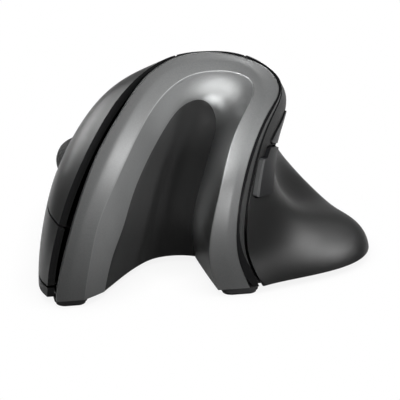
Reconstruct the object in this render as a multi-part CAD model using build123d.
from build123d import *
from math import atan2, cos, degrees, hypot, pi, sin, sqrt
import os

# A right-handed upright mouse, drawn in millimetres.
#
# Drawing frame: the front of the mouse looks to -Y, the thumb rest reaches to +X, +Z is up
# and z = 0 is the table. MOVE at the end puts the origin at the middle of the footprint.

# The skin is lofted through leaning arches, like the hoops of a pram hood. Every hoop is
# (y of its foot, y of its crest, z of its crest, points), each point (x, z) read from the
# finger side over the crest to the thumb rest. All hoops start on the plane z = SINK, which
# is cut away later. The last two hoops lie almost flat, so their points are (x, y) instead.
SINK = -10.0
HOOP_FRONT = (9.5, 32.4, 66.2, [
    (-43.2, -10), (-44.5, 3), (-41.2, 18), (-35.6, 32.2), (-26.9, 47.8), (-18.6, 58.2),
    (-8.2, 64.7), (3.0, 66.2), (14.4, 63.8), (23.6, 56.0), (18.8, 46.0), (12.4, 31.0),
    (9.6, 18), (11.2, 9), (14.5, 3.2), (16.5, -10)])
HOOP_SLOT = (16.3, 39.6, 62.7, [
    (-43.8, -10), (-45.7, 3), (-42.9, 17.8), (-37.7, 32), (-28.3, 47.0), (-19.5, 56.0),
    (-8.6, 61.5), (3.2, 62.8), (15.8, 60.3), (25.6, 52.2), (22.9, 42.5), (19.0, 30.5),
    (19.0, 18.5), (23.6, 9.9), (31.6, 5.4), (32.0, -10)])
HOOP_BUTTON = (24.5, 48.6, 58.2, [
    (-44.0, -10), (-45.8, 3), (-43.4, 17.5), (-38.4, 31.5), (-29.0, 45.4), (-20.0, 53.0),
    (-9, 57.3), (3.5, 58.5), (17.0, 55.5), (27.3, 47.2), (25.2, 37.0), (23.6, 26.2),
    (27.4, 16.8), (35.6, 10.6), (44.0, 6.8), (43.4, -10)])
HOOP_WHEEL = (41.8, 67.3, 49.8, [
    (-41.2, -10), (-42.4, 3), (-39.4, 15), (-33.0, 28), (-24.6, 38.4), (-15.8, 44.8),
    (-6, 48.8), (5, 49.9), (17.3, 47.3), (26.0, 39.0), (24.8, 28.6), (26.2, 18.8),
    (32.4, 12.0), (41.4, 9.3), (48.6, 6.4), (47.2, -10)])
HOOP_PALM = (56.0, 87.6, 40.2, [
    (-40.0, -10), (-39.3, 3), (-36.2, 13), (-30.0, 23.3), (-21.5, 31.0), (-13, 36.0),
    (-3.5, 39.1), (6.5, 40.2), (17.0, 38.0), (25.8, 31.8), (29.0, 23.6), (31.8, 16.5),
    (36.7, 11.2), (41.9, 7.6), (45.7, 4.4), (45.9, -10)])
HOOP_REAR = (66.0, 104.5, 28.6, [
    (-34.8, -10), (-34.0, 3), (-30.9, 10.5), (-25, 17.4), (-17.5, 22.6), (-9.5, 26.1),
    (-1, 28.1), (8, 28.6), (17.3, 27.2), (25.5, 23.4), (31.4, 18.2), (34.6, 13.5),
    (37.4, 9.5), (39.8, 6.2), (41.4, 3.0), (42.0, -10)])
HOOP_HEEL = (73.0, 114.5, 11.0, [
    (-31, 73), (-30.6, 78.4), (-28, 88.2), (-23, 97.5), (-16.3, 105), (-8.5, 110.5),
    (-0.5, 113.7), (7.5, 114.5), (16, 113.0), (24.2, 109), (30.5, 103), (34.7, 96.4),
    (37.2, 90.1), (38.9, 84.1), (39.9, 78.7), (40.2, 73)])
HOOP_FLOOR = (76.0, 116.5, -10.0, [
    (-29.5, 76), (-29.3, 81), (-27, 90.5), (-22.3, 99.5), (-15.8, 107), (-8.2, 112.8),
    (-0.3, 115.7), (7.5, 116.5), (15.8, 115), (23.8, 110.9), (30.1, 104.8), (34.1, 97.9),
    (36.7, 91.4), (38.2, 85.9), (39.0, 81), (39.3, 76)])
HOOPS = [HOOP_FRONT, HOOP_SLOT, HOOP_BUTTON, HOOP_WHEEL, HOOP_PALM, HOOP_REAR, HOOP_HEEL, HOOP_FLOOR]
FLAT_HOOPS = 2                      # how many of the last hoops give y instead of z

# The front: a flat leaning face, a crease inside it, and the edge of the dark recess.
FACE_Y = 12.5                       # where the leaning face meets the table
FACE_SLOPE = 0.30                   # how far it leans back for each mm of height
RIM = [(-40.3, -10), (-42.6, 2.4), (-40.0, 13.3), (-37.3, 21.3), (-33.4, 31.2), (-28.1, 41.9),
       (-21.6, 51.4), (-13.3, 60.8), (-4.5, 64.9), (4.1, 65.5), (14.1, 63.3), (21.3, 58.5),
       (22.7, 54.8), (20.3, 50.0), (14.3, 38.9), (10.9, 29.0), (8.8, 17.8), (8.9, 10.4),
       (11.8, 2.0), (16.0, -10)]
CREASE = [(-36.5, -10), (-34.9, 1.5), (-32.5, 12.5), (-29.5, 22.5), (-25.3, 31.0), (-21.2, 38.4),
          (-15.8, 47.6), (-9.6, 55.2), (-2.7, 59.5), (4.6, 60.5), (11.0, 59.6), (15.0, 57.0),
          (15.2, 53.8), (12.9, 49.4), (8.9, 41.9), (4.8, 29.4), (1.7, 18.3), (0.8, 9.7),
          (2.4, 3.0), (6.0, -10)]
RECESS_Y = 36.45                    # the recess edge lies in the plane y = this + ...
RECESS_TURN = 0.667                 # ... this for each mm of x
RECESS_SLOPE = 0.13                 # ... and this for each mm of z
RECESS = [(-32.4, -10), (-28.5, 2.0), (-25.5, 11.5), (-22.3, 18.0), (-19.4, 25.3), (-16.2, 31.5),
          (-12.4, 37.2), (-8.2, 42.4), (-3.6, 46.4), (1.2, 47.5), (5.0, 46.1), (7.6, 42.2),
          (8.1, 38.0), (6.6, 33.2), (4.2, 26.8), (1.9, 21.0), (0.3, 15.6), (-0.4, 9.0),
          (0.3, 2.1), (3.0, -10)]
DISH_ROWS = [(-10, -32.7, 3.3), (2, -28.9, 0.7), (10, -26.3, 0.0), (18, -22.7, 1.4), (25, -19.9, 3.9),
             (31.5, -16.6, 6.4), (37, -12.9, 8.3), (42, -8.9, 8.1), (45.5, -5.2, 6.1), (47.8, -1.2, 3.2)]
DISH_CURVE = [(0, 0), (0.2, 0.37), (0.4, 0.72), (0.58, 0.95), (0.72, 1.0), (0.86, 0.75), (1, 0)]
DISH_DEPTH = 0.205                  # deepest point of a dish row, for each mm of its chord

# Walls and gaps
WALL = 2.0                          # skin thickness
UNDERSIDE = 2.0                     # height of the body above the table
RIBBON_DEPTH = 2.4                  # thickness of the grey front cover behind its face
RIBBON_WALL = 2.0                   # thickness of its inner slope
RECESS_WALL = 1.8                   # thickness of the dark recess panel
RIM_CLEAR = 0.1                     # from the front cover's rim to the grey strip
TRIM_INSET = 2.9                    # gloss slot lining below the skin
TRIM_WALL = 1.5
TRIM_END = 7.5                      # how deep the slot lining reaches back
PANEL_START = 3.6                   # finger panels start this far behind the face
STRIP_START = 0.5                   # grey strip on the thumb side, from here behind the face ...
STRIP_END = 3.1                     # ... to here
STRIP_WIDE = 2.6                    # and at most this wide beside the ribbon
STRIP_GROOVE = 0.9                  # dark groove behind the strip
SEAM = 0.3                          # still seams between skin pieces
GAP = 0.6                           # gaps round the moving buttons

# Finger side: one seam parts the two long buttons and runs back to the wheel.
PANEL_END = 53.0                    # both buttons end this far behind the face
SPINE_X = -5.0                      # upper edge of the finger panel, at the crest
SPINE_Z = 63.0
SPINE_TILT = 0.58                   # x gained for each mm down through the skin
SKIRT_Z = 5.0                       # fixed skirt below the lower button
SEAM_LINE = [(-39.0, 10.0, 18.2), (-39.7, 21.5, 20.4), (-41.2, 34.0, 22.8), (-38.8, 43.0, 27.6),
             (-34.8, 50.0, 31.0), (-32.0, 60.0, 31.6), (-28.0, 75.0, 30.0), (-20.0, 92.0, 27.0)]
FINGER_AT = (-34.68, 50.0, 31.5)    # point of the skin over the wheel's middle
FINGER_OUT = (-0.856, 0.356, 0.375)     # which way the skin faces there
FINGER_REARWARD = (0.384, 0.923, 0.0)
TAB_LONG = 2.6                      # bending tabs at the rear edge of both buttons
TAB_THICK = 1.1
TAB_GAP = 0.12                      # from the tab to the palm shell over it
TAB_ROOT = 3.0

# Wheel and its tilting carrier, in the finger frame: x to the rear, y down, z outwards
WHEEL_R = 11.0
WHEEL_PROUD = 2.4                   # how far the tyre stands out of the panel
TYRE_WIDTH = 7.4
TYRE_DEPTH = 2.4
KNURLS = 44
KNURL_DEPTH = 0.45
HUB_WIDTH = 6.4
AXLE_R = 1.5
RUNNING_FIT = 0.05                  # radial gap of turning pins
WHEEL_SLOT_LONG = 23.0
WHEEL_SLOT_WIDE = 9.4
ARM_GAP = 0.8                       # tyre side to carrier arm
ARM_THICK = 1.4
ARM_HIGH = 4.0
PIVOT_BACK = 14.0                   # carrier pivot, this far in front of the wheel
PIVOT_R = 1.0
LUG_WIDE = 2.2                      # lugs of the bracket that hold the pivot
LUG_LONG = 4.0
LUG_GAP = 0.15                      # from a carrier arm to its lug
LUG_ROOM = (0.6, 0.8)               # free space in the board behind the lugs, and beside them
CARRIER_REAR = 19.0
CARRIER_BAR = 2.6                   # length of the bar that joins both arms in front
PRESS_BAR = 6.0                     # length of the rear bar that presses the switch
PRESS_BAR_LOW = -8.4
PRESS_BAR_HIGH = -6.7
ENCODER = (7.0, 5.0, 6.6)           # long, thick, high
ENCODER_UP = 0.5                    # its middle above the axle
WHEEL_ROOM = (1.6, 1.9)             # free space round the tyre: along, and to each side

# Boards and switches on the finger side
BOARD = 1.6                         # thickness of both large circuit boards
BOARD_TOP = -13.2                   # board face, below the skin
BRACKET = 1.5                       # thickness of the bracket under the finger board
BOARD_FRONT = -16.3
BOARD_REAR = 21.5
BOARD_HALF = 15.0
SWITCH = (12.8, 5.8, 6.4)
PLUNGER_R = 1.0
PLUNGER_HIGH = 1.1
STEM_R = 1.6
STEM_GAP = 0.5
STEM_TOP = 4.0                      # drawn past the skin, then trimmed to it
LEFT_SWITCH = (-6.0, -11.2)         # places of both main switches, from the wheel axle
RIGHT_SWITCH = (-10.2, 11.4)
TACT = (6.0, 6.0, 3.4)
TACT_HIGH = 0.7

# Thumb side: two raised buttons one behind the other, under the nose of the body
THUMB_AT = (18.0, 29.0, 34.0)
THUMB_OUT = (0.863, -0.498, -0.088)
THUMB_REARWARD = (0.5, 0.866, 0.0)
FORWARD_PROUD = 1.2                 # how far they stand out of the skin
BACK_PROUD = 0.5
THUMB_CLEAR = 0.45
THUMB_ROUND = 0.7                   # corner radius of both outlines
THUMB_WALL = 1.6
THUMB_DEEP = 12.0                   # the outlines are drawn this far to both sides
FLANGE = 0.6                        # rim that keeps a thumb button in its opening
FLANGE_GAP = 0.05
FLANGE_THICK = 0.9
FLANGE_APART = 0.3                  # between the flanges of the two thumb buttons
FORWARD_BUTTON = [(-5.4, -9.4), (-1.3, 0.5), (0.9, 0.5), (2.6, 3.1), (8.6, 1.2), (6.6, -2.2), (1.4, -10.0)]
BACK_BUTTON = [(3.4, 4.0), (12.0, 11.2), (16.6, 8.0), (9.6, 1.8)]
ACCENT = 1.0                        # width of the light strip along the forward button
THUMB_BOARD_TOP = -7.2
THUMB_BOARD = (-3.0, 17.0, -9.5, 11.0)      # x from, x to, y from, y to
THUMB_BOARD_THICK = 1.0
THUMB_TACT = (4.5, 4.5, 3.0)
THUMB_SWITCHES = [(1.8, -4.0), (10.0, 6.2)]
THUMB_STEM_R = 1.2
THUMB_STEM_GAP = 0.65
THUMB_POSTS = [(8.5, -5.5), (15.5, 1.0)]
THUMB_POST_R = 1.6
PART_X = -4.6                       # thumb shell and palm shell part on x = this + ...
PART_LEAN = 0.295                   # ... this for each mm of z

# Speed button on the finger side of the palm shell, behind the two long buttons
DPI_AT = (-21.17, 88.0, 28.0)
DPI_OUT = (-0.632, 0.4, 0.664)
DPI_REARWARD = (0.5348, 0.845, 0.0)
DPI_LONG, DPI_WIDE = 9.0, 4.6
DPI_CLEAR = 0.3
DPI_PROUD = 0.6
DPI_RIM = 0.8
DPI_BOARD_TOP = -8.5
DPI_BOARD = (14.0, 10.0)
DPI_POST = (-1.5, 5.0)              # its posts reach across the board from here to here

# Underside
BASE_THICK = 2.4
BASE_CLEAR = 0.15
FOOT_THICK = 0.8
FOOT_LEDGE = 0.5                    # the base stands round each foot pad by this much
FOOT_ROUND = 2.5
FEET = [(-38.2, 19.2, 8.2, 10.0), (9.3, 17.4, 9.6, 7.6), (-17.5, 87.0, 11.0, 14.0),
        (28.3, 88.0, 8.0, 13.0), (39.5, 43.0, 8.4, 8.4)]        # x, y, width, length
DOOR_LEFT, DOOR_RIGHT = 6.0, 22.0
DOOR_FRONT = 41.0
DOOR_THICK = 1.5
DOOR_LIP = 0.7                      # height of the door's edge below its tongues
DOOR_TONGUE = 1.0
DOOR_TONGUE_END = 88.0
DOOR_CLEAR = 0.2
GRIP = (8.0, 1.0, 0.4)              # grip grooves of the door: long, wide, deep
GRIP_STEP = 2.2
GRIP_COUNT = 4
GRIP_Y = 100.0
BATTERY_R = 7.2
BATTERY_LONG = 49.2
BATTERY_NUB_R = 2.6
BATTERY_NUB = 1.3
BATTERY_X, BATTERY_Y, BATTERY_Z = 14.0, 45.6, 11.0
BATTERY_ROOM = 0.3
TRAY_WALL = 1.1
CONTACT = 0.4                       # thickness of the contact plates
CONTACT_WIDE, CONTACT_HIGH = 9.0, 10.0
LEAF = 0.8                          # how far the front contact's leaf stands off its plate
SENSOR_AT = (-7.0, 62.0)
SENSOR_HOLE = (11.0, 7.5)
SENSOR_CHIP = (12.0, 10.0, 2.6)
SENSOR_LENS = (14.0, 11.0)
SENSOR_LIGHT = 4.0
MAIN_BOARD = (-17.5, 3.5, 48.4, 84.0)       # x from, x to, y from, y to
MAIN_BOARD_Z = 8.2
STANDOFFS = [(-15.0, 51.0), (1.0, 51.0), (-15.0, 81.5), (1.0, 81.5)]
STANDOFF_R = 1.9
CONTROLLER = (-7.0, 75.0, 8.0, 8.0, 1.2)    # chip on the main board: x, y, width, length, height
POWER_AT = (-7.0, 75.4)
POWER_TRAVEL = 3.0
POWER_KNOB = (5.0, 3.6)
POWER_CLEAR = 0.3
POWER_SUNK = 0.5                    # the knob sits this far inside the base
POWER_FLANGE = (11.0, 6.4, 0.7)
POWER_BODY = (9.0, 5.0, 2.6)
RECEIVER_X = -6.0
RECEIVER_CAP = (14.2, 6.0)          # width, height
RECEIVER_CAP_Y = 101.0
RECEIVER_PLUG = (12.0, 12.2, 4.5)   # width, length, height
RECEIVER_CLEAR = 0.3
BAY_WALL = 1.0
SCREWS = [(-27.0, 82.4), (31.0, 70.0), (29.5, 37.5), (-8.0, 44.6)]     # the last holds the recess panel
SCREW_R = 1.1
SCREW_CLEAR = 0.2
SCREW_HEAD_R = 2.3
SCREW_HEAD = 1.2
SCREW_SUNK = 0.3
SCREW_LONG = 5.6
CROSS = (2.6, 0.6, 0.7)             # cross recess of the screws: long, wide, deep
POST_R = 3.2
POST_TOP = 14.0                     # height of the recess panel's post

MIDDLE = (2.96, 64.74)               # drawn x and y of the middle of the footprint
SPAN = 400.0                        # far larger than the mouse, for cutting solids
FAR = 200.0                         # well past the mouse from anywhere in it
ON_TOP = (Align.CENTER, Align.CENTER, Align.MIN)

os.makedirs("parts", exist_ok=True)
PIECES = {}


def unit(v):
    length = sqrt(sum(c * c for c in v))
    return tuple(c / length for c in v)


def sloped(points, dist):
    """Moves a row of 2D points sideways, to the left of its run; its ends keep their height."""
    moved = []
    last = len(points) - 1
    for i, (x, s) in enumerate(points):
        before, after = points[max(i - 1, 0)], points[min(i + 1, last)]
        run, rise = after[0] - before[0], after[1] - before[1]
        length = hypot(run, rise)
        if i in (0, last):
            moved.append((x - dist if i == 0 else x + dist, s))
        else:
            moved.append((x - dist * rise / length, s + dist * run / length))
    return moved


def hoop_points(hoop, flat, inset):
    """The hoop's points in space, moved inwards by the inset within the hoop's own plane."""
    y_foot, y_crest, z_crest, points = hoop
    length = hypot(y_crest - y_foot, z_crest - SINK)
    start, end = (y_foot, y_crest) if flat else (SINK, z_crest)
    along = [(x, (v - start) / (end - start) * length) for x, v in points]
    lean_y, lean_z = (y_crest - y_foot) / length, (z_crest - SINK) / length
    return [Vector(x, y_foot + s * lean_y, SINK + s * lean_z) for x, s in sloped(along, -inset)]


def shared_steps(rows):
    """One set of spline parameters for all hoops: the mean of their chord lengths."""
    total = [0.0] * len(rows[0])
    for row in rows:
        run = [0.0]
        for a, b in zip(row, row[1:]):
            run.append(run[-1] + (b - a).length)
        total = [t + r / run[-1] for t, r in zip(total, run)]
    return [t / len(rows) for t in total]


def body(inset):
    """The whole outer form of the mouse, drawn smaller by the inset."""
    flat_from = len(HOOPS) - FLAT_HOOPS
    steps = shared_steps([hoop_points(h, i >= flat_from, 0.0) for i, h in enumerate(HOOPS)])
    wires = []
    for i, hoop in enumerate(HOOPS):
        row = hoop_points(hoop, i >= flat_from, inset)
        wires.append(Wire([Edge.make_spline(row, parameters=steps), Edge.make_line(row[-1], row[0])]))
    return Solid.make_loft(wires)


def on_face(x, z):
    return Vector(x, FACE_Y + FACE_SLOPE * z, z)


def on_recess(x, z):
    return Vector(x, RECESS_Y + RECESS_TURN * x + RECESS_SLOPE * z, z)


def outline(points, place, grow=0.0, push=Vector(0, 0, 0)):
    """A closed wire: a spline through the points, then a straight line home."""
    spots = [place(x, z) + push for x, z in sloped(points, grow)]
    return Wire([Edge.make_spline(spots), Edge.make_line(spots[-1], spots[0])])


def half_space(point, facing):
    plane = Plane(origin=point, z_dir=facing)
    return plane * Box(SPAN, SPAN, SPAN, align=ON_TOP)


def above(z):
    return Pos(0, 0, z) * Box(SPAN, SPAN, SPAN, align=ON_TOP)


def block(x0, x1, y0, y1, z0, z1):
    return Pos((x0 + x1) / 2, (y0 + y1) / 2, (z0 + z1) / 2) * Box(x1 - x0, y1 - y0, z1 - z0)


def centred(x, y, wide, long, low, high):
    """A block round a place on the plan."""
    return block(x - wide / 2, x + wide / 2, y - long / 2, y + long / 2, low, high)


def upright(x, y, low, high, radius):
    """A round bar standing from one height to another."""
    return Pos(x, y, low) * Cylinder(radius, high - low, align=ON_TOP)


FACE_BACK = unit((0, 1, -FACE_SLOPE))
FACE = Plane(origin=(0, FACE_Y, 0), x_dir=(1, 0, 0), z_dir=FACE_BACK)


def slab(near, far):
    """The space between two planes parallel to the leaning face."""
    return FACE * Pos(0, 0, near) * Box(SPAN, SPAN, far - near, align=ON_TOP)


def keep(name, shape):
    """Takes one finished piece, and prints its volume and its number of solids."""
    PIECES[name] = shape
    print(name, round(shape.volume, 1), len(shape.solids()))


# The form
over_table = above(UNDERSIDE)
outer = body(0.0) & over_table
inner = body(WALL)
skin = outer - inner

recess_back = Vector(*unit((-RECESS_TURN, 1, -RECESS_SLOPE)))
slope_air = Solid.make_loft([outline(CREASE, on_face), outline(RECESS, on_recess)], True)
slope_rims = [outline(CREASE, on_face, RIBBON_WALL), outline(RECESS, on_recess, RIBBON_WALL)]
slope_full = Solid.make_loft(slope_rims, True)


def dish(grow):
    """The hollow of the recess: level rows, each (z, left x, right x), deepest towards the right."""
    back = Vector(*unit((-RECESS_TURN, 1, 0)))
    wires = []
    for i, (z, left, right) in enumerate(DISH_ROWS):
        level = z + (grow if i == len(DISH_ROWS) - 1 else 0.0)
        start, end = on_recess(left - grow, level), on_recess(right + grow, level)
        chord = end - start
        deepest = DISH_DEPTH * chord.length
        spots = [start + chord * t + back * (depth * deepest + grow) for t, depth in DISH_CURVE]
        edges = [Edge.make_spline(spots)]
        if grow:
            edges = [Edge.make_line(start, spots[0])] + edges + [Edge.make_line(spots[-1], end)]
        wires.append(Wire(edges + [Edge.make_line(end, start)]))
    return Solid.make_loft(wires)


dish_air = dish(0.0)
dish_full = dish(RECESS_WALL)
front_clear = slope_full + dish_full        # what the inner parts must stay out of

# Openings of the thumb buttons, shared by all pieces they pass through
THUMB = Plane(origin=THUMB_AT, x_dir=THUMB_REARWARD, z_dir=THUMB_OUT)


def thumb_prism(points, grow):
    """The button's rounded outline, grown, drawn through the skin."""
    flat = make_face(Polyline(*points, close=True))
    flat = offset(offset(flat, -THUMB_ROUND), THUMB_ROUND + grow)
    return THUMB * Pos(0, 0, -THUMB_DEEP) * extrude(flat, 2 * THUMB_DEEP)


def thumb_openings(grow):
    return thumb_prism(FORWARD_BUTTON, grow) + thumb_prism(BACK_BUTTON, grow)


# Front cover, slot lining and grey strip
ribbon_back = Vector(*FACE_BACK) * RIBBON_DEPTH
ribbon = Solid.extrude(Face(outline(RIM, on_face)), ribbon_back)
front_cover = ((ribbon + slope_full) - slope_air) & over_table
keep("front_cover", front_cover)
trim = (body(TRIM_INSET) & over_table) - body(TRIM_INSET + TRIM_WALL)
trim = (trim & slab(RIBBON_DEPTH, TRIM_END)) - slope_full
keep("slot_lining", trim - thumb_openings(FLANGE + THUMB_CLEAR))
thumb_half = half_space((PART_X + SEAM, 0, 0), unit((1, 0, -PART_LEAN)))


def beside_ribbon(reach, near, far):
    """All that lies within this reach of the ribbon's rim, between two depths behind the face."""
    zone = Solid.extrude(Face(outline(RIM, on_face, reach)), Vector(*FACE_BACK) * FAR)
    return zone & slab(near, far)


strip = ((outer - body(TRIM_INSET)) & thumb_half) & beside_ribbon(STRIP_WIDE, STRIP_START, STRIP_END)
keep("side_strip", strip - beside_ribbon(RIM_CLEAR, 0.0, RIBBON_DEPTH))

# Finger buttons
FINGER = Plane(origin=FINGER_AT, x_dir=FINGER_REARWARD, z_dir=FINGER_OUT)
finger_in = Vector(*FINGER_OUT) * -1
FAR_X = -60.0                               # the seam is drawn on this plane and pushed in


def seam_side(shift, up):
    """All that lies above (up=1) or below (up=-1) the seam, with the given gap."""
    spots = []
    for x, y, z in SEAM_LINE:
        out = (FAR_X - x) / FINGER_OUT[0]
        spots.append(Vector(FAR_X, y + FINGER_OUT[1] * out, z + FINGER_OUT[2] * out + shift * up))
    edge = Edge.make_spline(spots)
    far_up = Vector(0, 0, SPAN * up)
    corners = [spots[-1], spots[-1] + far_up, spots[0] + far_up, spots[0]]
    sides = [Edge.make_line(a, b) for a, b in zip(corners, corners[1:])]
    return Solid.extrude(Face(Wire([edge] + sides)), finger_in * FAR)


def finger_half(grow):
    tilt = unit((-1, 0, -SPINE_TILT))
    limit = half_space((SPINE_X + grow, 0, SPINE_Z), tilt)
    return limit & block(-SPAN, SPINE_X + grow + WALL, -SPAN, SPAN, -SPAN, SPAN)


wheel_slot = FINGER * Pos(0, 0, -WHEEL_R) * extrude(SlotOverall(WHEEL_SLOT_LONG, WHEEL_SLOT_WIDE), 2 * WHEEL_R)
panel = (skin & slab(PANEL_START, PANEL_END)) & finger_half(0.0)
panel = panel - wheel_slot
left_button = panel & seam_side(GAP / 2, 1)
right_button = (panel & seam_side(GAP / 2, -1)) & above(SKIRT_Z)
panel_space = (slab(PANEL_START - GAP, PANEL_END + GAP) & finger_half(GAP)) & above(SKIRT_Z - GAP)


def in_finger(x0, x1, y0, y1, z0, z1):
    return FINGER * block(x0, x1, y0, y1, z0, z1)


def finger_rod(x, y, z0, z1, radius):
    return FINGER * upright(x, y, z0, z1, radius)


def cross_rod(x, z, y0, y1, radius):
    """A rod across the finger frame, along its y."""
    return FINGER * Pos(x, (y0 + y1) / 2, z) * Rot(90, 0, 0) * Cylinder(radius, y1 - y0)


inside_skin = body(WALL / 2)
switch_top = BOARD_TOP + SWITCH[2]
stem_low = switch_top + PLUNGER_HIGH + STEM_GAP
tab_low = body(WALL + TAB_GAP + TAB_THICK)
tab = (body(WALL + TAB_GAP) & over_table) - tab_low
tab = tab & slab(PANEL_END - TAB_ROOT, PANEL_END + TAB_LONG)
root = ((inside_skin & over_table) - tab_low) & slab(PANEL_END - TAB_ROOT, PANEL_END)
tabs = ((tab + root) & finger_half(-GAP)) & above(SKIRT_Z + GAP)
for name, button, spot, up in (("left_button", left_button, LEFT_SWITCH, 1),
                               ("right_button", right_button, RIGHT_SWITCH, -1)):
    stem = finger_rod(*spot, stem_low, STEM_TOP, STEM_R) & inside_skin
    keep(name, (button + (tabs & seam_side(GAP, up))) + stem)

# Wheel
wheel_z = WHEEL_PROUD - WHEEL_R
hub_r = WHEEL_R - TYRE_DEPTH
half_tyre = TYRE_WIDTH / 2
arm_in = half_tyre + ARM_GAP
arm_out = arm_in + ARM_THICK
hub = cross_rod(0, wheel_z, -HUB_WIDTH / 2, HUB_WIDTH / 2, hub_r)
hub = hub + cross_rod(0, wheel_z, -arm_out, arm_out + ENCODER[1] / 2, AXLE_R)
keep("wheel_hub", hub)
tyre = cross_rod(0, wheel_z, -half_tyre, half_tyre, WHEEL_R) - cross_rod(0, wheel_z, -WHEEL_R, WHEEL_R, hub_r)
WHEEL = FINGER * Pos(0, 0, wheel_z)
for i in range(KNURLS):
    groove = Rot(0, 360 / KNURLS * i, 0) * Pos(0, 0, WHEEL_R) * Rot(0, 45, 0)
    tyre = tyre - WHEEL * groove * Box(KNURL_DEPTH * sqrt(2), 2 * TYRE_WIDTH, KNURL_DEPTH * sqrt(2))
keep("wheel_tyre", tyre)

pivot_x = -PIVOT_BACK
arm_low, arm_high = wheel_z - ARM_HIGH / 2, wheel_z + ARM_HIGH / 2
half_bar = CARRIER_BAR / 2
carrier = in_finger(pivot_x - half_bar, pivot_x + half_bar, -arm_out, arm_out, arm_low, arm_high)
for side in (-1, 1):
    y0, y1 = sorted((side * arm_in, side * arm_out))
    carrier = carrier + in_finger(pivot_x, CARRIER_REAR, y0, y1, arm_low, arm_high)
    y0, y1 = sorted((side * arm_out, side * (arm_out + LUG_WIDE)))
    carrier = carrier + cross_rod(pivot_x, wheel_z, y0, y1, PIVOT_R)
press_from = CARRIER_REAR - PRESS_BAR
carrier = carrier + in_finger(press_from, CARRIER_REAR, -arm_out, arm_out, PRESS_BAR_LOW, PRESS_BAR_HIGH)
carrier = carrier - cross_rod(0, wheel_z, -WHEEL_R, WHEEL_R, AXLE_R + RUNNING_FIT)
keep("wheel_carrier", carrier)
wide, thick, high = ENCODER
encoder_z = wheel_z + ENCODER_UP
encoder = in_finger(-wide / 2, wide / 2, arm_out, arm_out + thick, encoder_z - high / 2, encoder_z + high / 2)
encoder = encoder - cross_rod(0, wheel_z, arm_out, arm_out + thick / 2 + RUNNING_FIT, AXLE_R + RUNNING_FIT)
keep("encoder", encoder)

# Finger board, its bracket and its switches
base_top = UNDERSIDE + BASE_THICK
board_low = BOARD_TOP - BOARD
room_x, room_y = WHEEL_R + WHEEL_ROOM[0], half_tyre + WHEEL_ROOM[1]
wheel_room = in_finger(-room_x, room_x, -room_y, room_y, -FAR, 0)
lug_rear, lug_side = pivot_x + LUG_LONG / 2 + LUG_ROOM[0], arm_out + LUG_WIDE + LUG_ROOM[1]
lug_room = in_finger(pivot_x - LUG_LONG, lug_rear, -lug_side, lug_side, board_low, 0)
board = in_finger(BOARD_FRONT, BOARD_REAR, -BOARD_HALF, BOARD_HALF, board_low, BOARD_TOP)
keep("finger_board", (board - wheel_room) - lug_room)
bracket = in_finger(BOARD_FRONT, BOARD_REAR, -BOARD_HALF, FAR, board_low - BRACKET, board_low)
bracket = (bracket & above(base_top)) - wheel_room
for side in (-1, 1):
    y0, y1 = sorted((side * (arm_out + LUG_GAP), side * (arm_out + LUG_WIDE)))
    half_lug = LUG_LONG / 2
    lug = in_finger(pivot_x - half_lug, pivot_x + half_lug, y0, y1, board_low, wheel_z + half_lug)
    bracket = bracket + (lug - cross_rod(pivot_x, wheel_z, -WHEEL_R, WHEEL_R, PIVOT_R + RUNNING_FIT))
keep("finger_bracket", bracket)


def switch_at(frame, x, y, size, floor, plunger_r, plunger_high):
    top = floor + size[2]
    base = frame * centred(x, y, size[0], size[1], floor, top)
    return base + frame * upright(x, y, top, top + plunger_high, plunger_r)


keep("left_switch", switch_at(FINGER, *LEFT_SWITCH, SWITCH, BOARD_TOP, PLUNGER_R, PLUNGER_HIGH))
keep("right_switch", switch_at(FINGER, *RIGHT_SWITCH, SWITCH, BOARD_TOP, PLUNGER_R, PLUNGER_HIGH))
press_x = CARRIER_REAR - PRESS_BAR / 2
keep("wheel_switch", switch_at(FINGER, press_x, 0, TACT, BOARD_TOP, PLUNGER_R, TACT_HIGH))

# Thumb buttons, their board and switches
flange_top = body(WALL + FLANGE_GAP)
flange_low = body(WALL + FLANGE_GAP + FLANGE_THICK)
thumb_switch_top = THUMB_BOARD_TOP + THUMB_TACT[2] + TACT_HIGH
THUMB_BUTTONS = {}
for name, points, spot, proud in (("forward_button", FORWARD_BUTTON, 0, FORWARD_PROUD),
                                  ("back_button", BACK_BUTTON, 1, BACK_PROUD)):
    button = (thumb_prism(points, 0.0) & body(-proud)) - flange_low
    button = button - (thumb_prism(points, -THUMB_WALL) & body(THUMB_WALL - proud))
    flange = thumb_prism(points, FLANGE)
    if spot:
        flange = flange - thumb_prism(FORWARD_BUTTON, FLANGE + FLANGE_APART)
    button = button + ((flange & flange_top) - flange_low)
    x, y = THUMB_SWITCHES[spot]
    low = thumb_switch_top + THUMB_STEM_GAP
    stem = THUMB * upright(x, y, low, low + THUMB_DEEP, THUMB_STEM_R)
    THUMB_BUTTONS[name] = button + (stem & body(THUMB_WALL / 2 - proud))
front_low, front_high = (THUMB.from_local_coords((x, y, 0)) for x, y in FORWARD_BUTTON[:2])
edge_run = (front_high - front_low).normalized()
edge_front = THUMB.z_dir.cross(edge_run)
accent_side = half_space(front_low - edge_front * ACCENT, edge_front)
keep("forward_accent", THUMB_BUTTONS["forward_button"] & accent_side)
keep("forward_button", THUMB_BUTTONS["forward_button"] - accent_side)
keep("back_button", THUMB_BUTTONS["back_button"])
x0, x1, y0, y1 = THUMB_BOARD
thumb_board_low = THUMB_BOARD_TOP - THUMB_BOARD_THICK
thumb_board = THUMB * block(x0, x1, y0, y1, thumb_board_low, THUMB_BOARD_TOP)
keep("thumb_board", (thumb_board & body(WALL + THUMB_BOARD_THICK)) - front_clear)
for name, (x, y) in zip(("forward_switch", "back_switch"), THUMB_SWITCHES):
    keep(name, switch_at(THUMB, x, y, THUMB_TACT, THUMB_BOARD_TOP, PLUNGER_R, TACT_HIGH))


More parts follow.
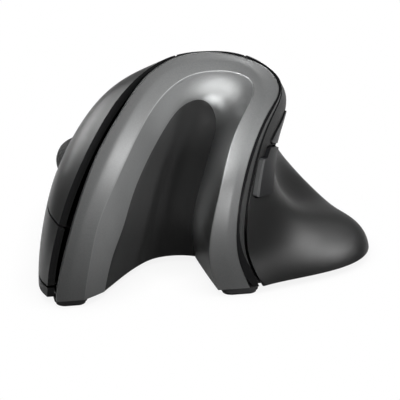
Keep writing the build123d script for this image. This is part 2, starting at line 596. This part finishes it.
# Palm shell and thumb shell
def post(x, y, low, high):
    return upright(x, y, low, high, POST_R)


def pilot(x, y):
    return upright(x, y, 0, screw_top + SCREW_SUNK, SCREW_R)


base_low = UNDERSIDE
screw_top = base_low + SCREW_SUNK + SCREW_HEAD + SCREW_LONG
palm_half = half_space((PART_X, 0, 0), unit((-1, 0, PART_LEAN)))
palm = ((skin - panel_space) & palm_half) & slab(PANEL_START, FAR)
x, y = SCREWS[0]
palm = (palm + (post(x, y, base_top, FAR) & inside_skin)) - pilot(x, y)
thumb_shell = (skin & thumb_half) & slab(STRIP_START, FAR)
thumb_shell = thumb_shell - beside_ribbon(STRIP_WIDE + STRIP_GROOVE, 0.0, STRIP_END + STRIP_GROOVE)
thumb_shell = thumb_shell - thumb_openings(THUMB_CLEAR)
for x, y in SCREWS[1:3]:
    thumb_shell = (thumb_shell + (post(x, y, base_top, FAR) & inside_skin)) - pilot(x, y)
for x, y in THUMB_POSTS:
    rod = THUMB * upright(x, y, THUMB_BOARD_TOP, THUMB_BOARD_TOP + THUMB_DEEP, THUMB_POST_R)
    thumb_shell = thumb_shell + (rod & inside_skin)
door_top = base_low + DOOR_THICK
thumb_shell = thumb_shell - block(DOOR_LEFT, DOOR_RIGHT, GRIP_Y, FAR, 0, door_top + DOOR_CLEAR)
x, y = SCREWS[3]
holder = block(x - POST_R, x + POST_R, RECESS_Y - POST_R, y, base_top, POST_TOP)
holder = holder + post(x, y, base_top, POST_TOP)
recess_panel = (((dish_full + holder) - dish_air) & over_table) - pilot(x, y)
keep("recess_panel", recess_panel - slope_air)

# Speed button
DPI = Plane(origin=DPI_AT, x_dir=DPI_REARWARD, z_dir=DPI_OUT)


def dpi_prism(grow):
    flat = SlotOverall(DPI_LONG + 2 * grow, DPI_WIDE + 2 * grow)
    return DPI * Pos(0, 0, -THUMB_DEEP) * extrude(flat, 2 * THUMB_DEEP)


dpi_button = (dpi_prism(0.0) & body(-DPI_PROUD)) - flange_low
dpi_button = dpi_button + ((dpi_prism(DPI_RIM) & flange_top) - flange_low)
dpi_tip = DPI_BOARD_TOP + TACT[2] + TACT_HIGH
stem = DPI * upright(0, 0, dpi_tip + THUMB_STEM_GAP, THUMB_DEEP, THUMB_STEM_R)
keep("dpi_button", dpi_button + (stem & inside_skin))
keep("dpi_switch", switch_at(DPI, 0, 0, TACT, DPI_BOARD_TOP, PLUNGER_R, TACT_HIGH))
dpi_long, dpi_wide = DPI_BOARD
dpi_low = DPI_BOARD_TOP - THUMB_BOARD_THICK
keep("dpi_board", DPI * centred(0, 0, dpi_long, dpi_wide, dpi_low, DPI_BOARD_TOP))
for side in (-1, 1):
    x0, x1 = sorted((side * (DPI_LONG / 2 + DPI_RIM + DPI_CLEAR), side * dpi_long / 2))
    palm = palm + ((DPI * block(x0, x1, *DPI_POST, DPI_BOARD_TOP, THUMB_DEEP)) & inside_skin)
palm = palm - dpi_prism(DPI_CLEAR)

# Receiver and its bay
receiver_z = base_top + BAY_WALL + RECEIVER_CLEAR + RECEIVER_CAP[1] / 2


def receiver_box(width, height, near, far):
    x, z = RECEIVER_X, receiver_z
    return block(x - width / 2, x + width / 2, near, far, z - height / 2, z + height / 2)


cap_wide, cap_high = RECEIVER_CAP
plug_wide, plug_long, plug_high = RECEIVER_PLUG
plug_end = RECEIVER_CAP_Y - plug_long
receiver = receiver_box(cap_wide, cap_high, RECEIVER_CAP_Y, FAR) & outer
keep("usb_receiver", receiver + receiver_box(plug_wide, plug_high, plug_end, RECEIVER_CAP_Y))
room_wide, room_high = cap_wide + 2 * RECEIVER_CLEAR, cap_high + 2 * RECEIVER_CLEAR
receiver_room = receiver_box(room_wide, room_high, plug_end - RECEIVER_CLEAR, FAR)
bay_wide, bay_high = room_wide + 2 * BAY_WALL, room_high + 2 * BAY_WALL
bay = receiver_box(bay_wide, bay_high, plug_end - RECEIVER_CLEAR - BAY_WALL, FAR) & inner
keep("receiver_bay", bay - receiver_room)
palm = palm - receiver_room
keep("palm_shell", palm)
keep("thumb_shell", thumb_shell - receiver_room)

# Base plate, feet and battery door
low_layer = centred(0, 0, SPAN, SPAN, base_low, base_top)
trim_rear = TRIM_END + BASE_CLEAR
base = body(TRIM_INSET + TRIM_WALL + BASE_CLEAR) & low_layer & slab(RIBBON_DEPTH + BASE_CLEAR, trim_rear)
base = base + (body(WALL + BASE_CLEAR) & low_layer & slab(trim_rear, FAR))
base = base - front_clear


def pad(x, y, wide, long, grow, low, high):
    flat = RectangleRounded(wide + 2 * grow, long + 2 * grow, FOOT_ROUND + grow)
    return Pos(x, y, low) * extrude(flat, high - low)


feet = [pad(*foot, 0.0, 0.0, FOOT_THICK) for foot in FEET]
for foot in FEET:
    base = base + pad(*foot, FOOT_LEDGE, FOOT_THICK, base_low)
    base = base - pad(*foot, 0.0, 0.0, FOOT_THICK)
for x, y in SCREWS:
    sunk = base_low + SCREW_SUNK + SCREW_HEAD
    base = base - upright(x, y, 0, sunk, SCREW_HEAD_R + SCREW_CLEAR)
    base = base - upright(x, y, 0, FAR, SCREW_R + SCREW_CLEAR)
for x, y in STANDOFFS:
    base = base + upright(x, y, base_top, MAIN_BOARD_Z, STANDOFF_R)
x, y = SENSOR_AT
base = base - Pos(x, y, 0) * extrude(RectangleRounded(*SENSOR_HOLE, SCREW_R), MAIN_BOARD_Z)
x, y = POWER_AT
knob_wide, knob_long = POWER_KNOB
slot_wide = knob_wide + POWER_TRAVEL + 2 * POWER_CLEAR
slot_long = knob_long + 2 * POWER_CLEAR
base = base - centred(x, y, slot_wide, slot_long, 0, MAIN_BOARD_Z)
tongue_low = base_low + DOOR_LIP
groove_low, groove_high = tongue_low - DOOR_CLEAR, door_top + DOOR_CLEAR
base = base - block(DOOR_LEFT, DOOR_RIGHT, DOOR_FRONT, FAR, 0, groove_high)
groove_left, groove_right = DOOR_LEFT - DOOR_TONGUE, DOOR_RIGHT + DOOR_TONGUE
base = base - block(groove_left, groove_right, DOOR_FRONT, FAR, groove_low, groove_high)
battery_half = BATTERY_R + BATTERY_ROOM
tray_near = BATTERY_Y - CONTACT - LEAF
tray_far = BATTERY_Y + BATTERY_LONG + BATTERY_NUB + CONTACT
base = base - block(BATTERY_X - battery_half, BATTERY_X + battery_half, tray_near, tray_far, 0, FAR)
keep("base_plate", base)
all_feet = feet[0]
for foot in feet[1:]:
    all_feet = all_feet + foot
keep("foot_pads", all_feet)

c = DOOR_CLEAR
door = block(DOOR_LEFT + c, DOOR_RIGHT - c, DOOR_FRONT + c, FAR, base_low, door_top) & outer
door = door + block(groove_left + c, groove_right - c, DOOR_FRONT + c, DOOR_TONGUE_END, tongue_low, door_top)
grip_long, grip_wide, grip_deep = GRIP
for i in range(GRIP_COUNT):
    y = GRIP_Y + i * GRIP_STEP
    door = door - centred(BATTERY_X, y, grip_long, grip_wide, 0, base_low + grip_deep)
keep("battery_door", door)

# Battery, its tray and its contacts
def battery_rod(near, far, radius):
    return Pos(BATTERY_X, near, BATTERY_Z) * Rot(-90, 0, 0) * Cylinder(radius, far - near, align=ON_TOP)


battery_end = BATTERY_Y + BATTERY_LONG
nub = battery_rod(battery_end, battery_end + BATTERY_NUB, BATTERY_NUB_R)
keep("battery", battery_rod(BATTERY_Y, battery_end, BATTERY_R) + nub)
tray_top = BATTERY_Z + battery_half
tray_y, tray_long = (tray_near + tray_far) / 2, tray_far - tray_near
walls = 2 * TRAY_WALL
tray = centred(BATTERY_X, tray_y, 2 * battery_half + walls, tray_long + walls, base_top, tray_top + TRAY_WALL)
tray = tray - centred(BATTERY_X, tray_y, 2 * battery_half, tray_long, 0, tray_top)
keep("battery_tray", tray)
half_wide, half_high = CONTACT_WIDE / 2, CONTACT_HIGH / 2
x0, x1 = BATTERY_X - half_wide, BATTERY_X + half_wide
z0, z1 = BATTERY_Z - half_high, BATTERY_Z + half_high
plate = block(x0, x1, tray_near, tray_near + CONTACT, z0, z1)
leaf = block(x0, x1, BATTERY_Y - CONTACT, BATTERY_Y, z0, BATTERY_Z)
keep("minus_contact", plate + block(x0, x1, tray_near, BATTERY_Y, z0, z0 + CONTACT) + leaf)
keep("plus_contact", block(x0, x1, tray_far - CONTACT, tray_far, z0, z1))

# Main board, sensor and power switch
x0, x1, y0, y1 = MAIN_BOARD
board_high = MAIN_BOARD_Z + BOARD
main_board = block(x0, x1, y0, y1, MAIN_BOARD_Z, board_high)
x, y = SENSOR_AT
keep("main_board", main_board - upright(x, y, 0, FAR, SENSOR_LIGHT / 2))
wide, long, high = SENSOR_CHIP
keep("sensor_chip", centred(x, y, wide, long, board_high, board_high + high))
keep("sensor_lens", centred(x, y, *SENSOR_LENS, base_top, MAIN_BOARD_Z))
x, y, wide, long, high = CONTROLLER
keep("controller_chip", centred(x, y, wide, long, board_high, board_high + high))
x, y = POWER_AT
off_x = x - POWER_TRAVEL / 2
flange_long, flange_wide, flange_high = POWER_FLANGE
knob = centred(off_x, y, knob_wide, knob_long, base_low + POWER_SUNK, base_top)
keep("power_slider", knob + centred(off_x, y, flange_long, flange_wide, base_top, base_top + flange_high))
wide, long, high = POWER_BODY
keep("power_switch", centred(x, y, wide, long, MAIN_BOARD_Z - high, MAIN_BOARD_Z))

# Screws, one shared piece
screws = []
cross_long, cross_wide, cross_deep = CROSS
for x, y in SCREWS:
    head_low = base_low + SCREW_SUNK
    screw = upright(x, y, head_low, head_low + SCREW_HEAD, SCREW_HEAD_R)
    screw = screw + upright(x, y, head_low, screw_top, SCREW_R)
    for wide, long in ((cross_long, cross_wide), (cross_wide, cross_long)):
        screw = screw - centred(x, y, wide, long, head_low, head_low + cross_deep)
    screws.append(screw)
all_screws = screws[0]
for screw in screws[1:]:
    all_screws = all_screws + screw
keep("base_screws", all_screws)

# Everything moves so that the middle of the footprint is the origin
MOVE = Pos(-MIDDLE[0], -MIDDLE[1], 0)
for name, shape in PIECES.items():
    export_step(MOVE * shape, f"parts/{name}.step")
